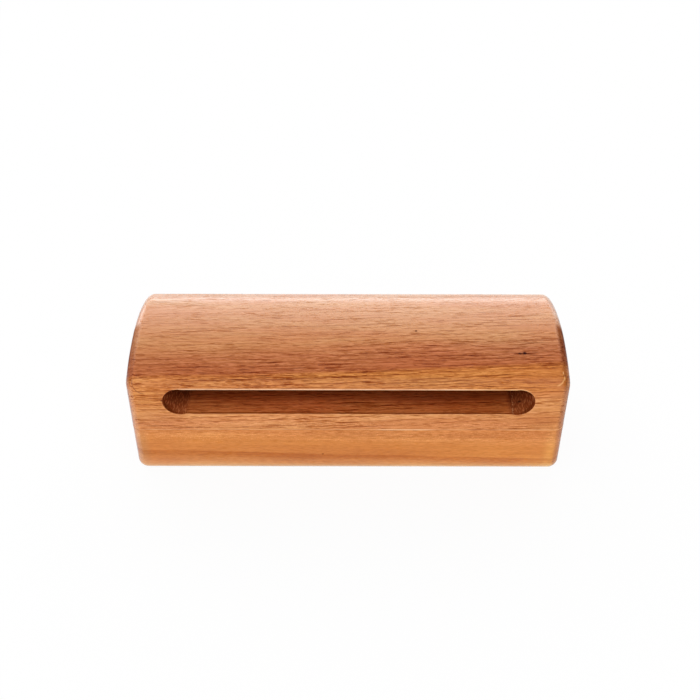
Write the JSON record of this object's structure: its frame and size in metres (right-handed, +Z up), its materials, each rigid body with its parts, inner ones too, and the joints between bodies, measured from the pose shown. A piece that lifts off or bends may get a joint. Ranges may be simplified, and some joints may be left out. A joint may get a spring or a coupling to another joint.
{
  "type": "concert wood block",
  "caption": "Arched rectangular wood block glued up from hardwood boards, with a long round-ended sound slot in its front and a flat base to stand on.",
  "frame": {"origin": "centre of the flat base, in the plane that the block stands on", "axes": "+X along the block, +Z up, the sound slot opens towards -Y"},
  "size_m": [0.19, 0.0666, 0.0595],
  "materials": {
    "upper_wood": "reddish, open-pored hardwood under a satin clear lacquer",
    "lower_wood": "even orange-brown, fine-pored hardwood under a satin clear lacquer",
    "cured_glue": "thin dark film of cured wood glue"
  },
  "bodies": {
    "root": {"upper_board": "upper_wood", "lower_board": "lower_wood", "glue_line": "cured_glue"}
  },
  "joints": []
}
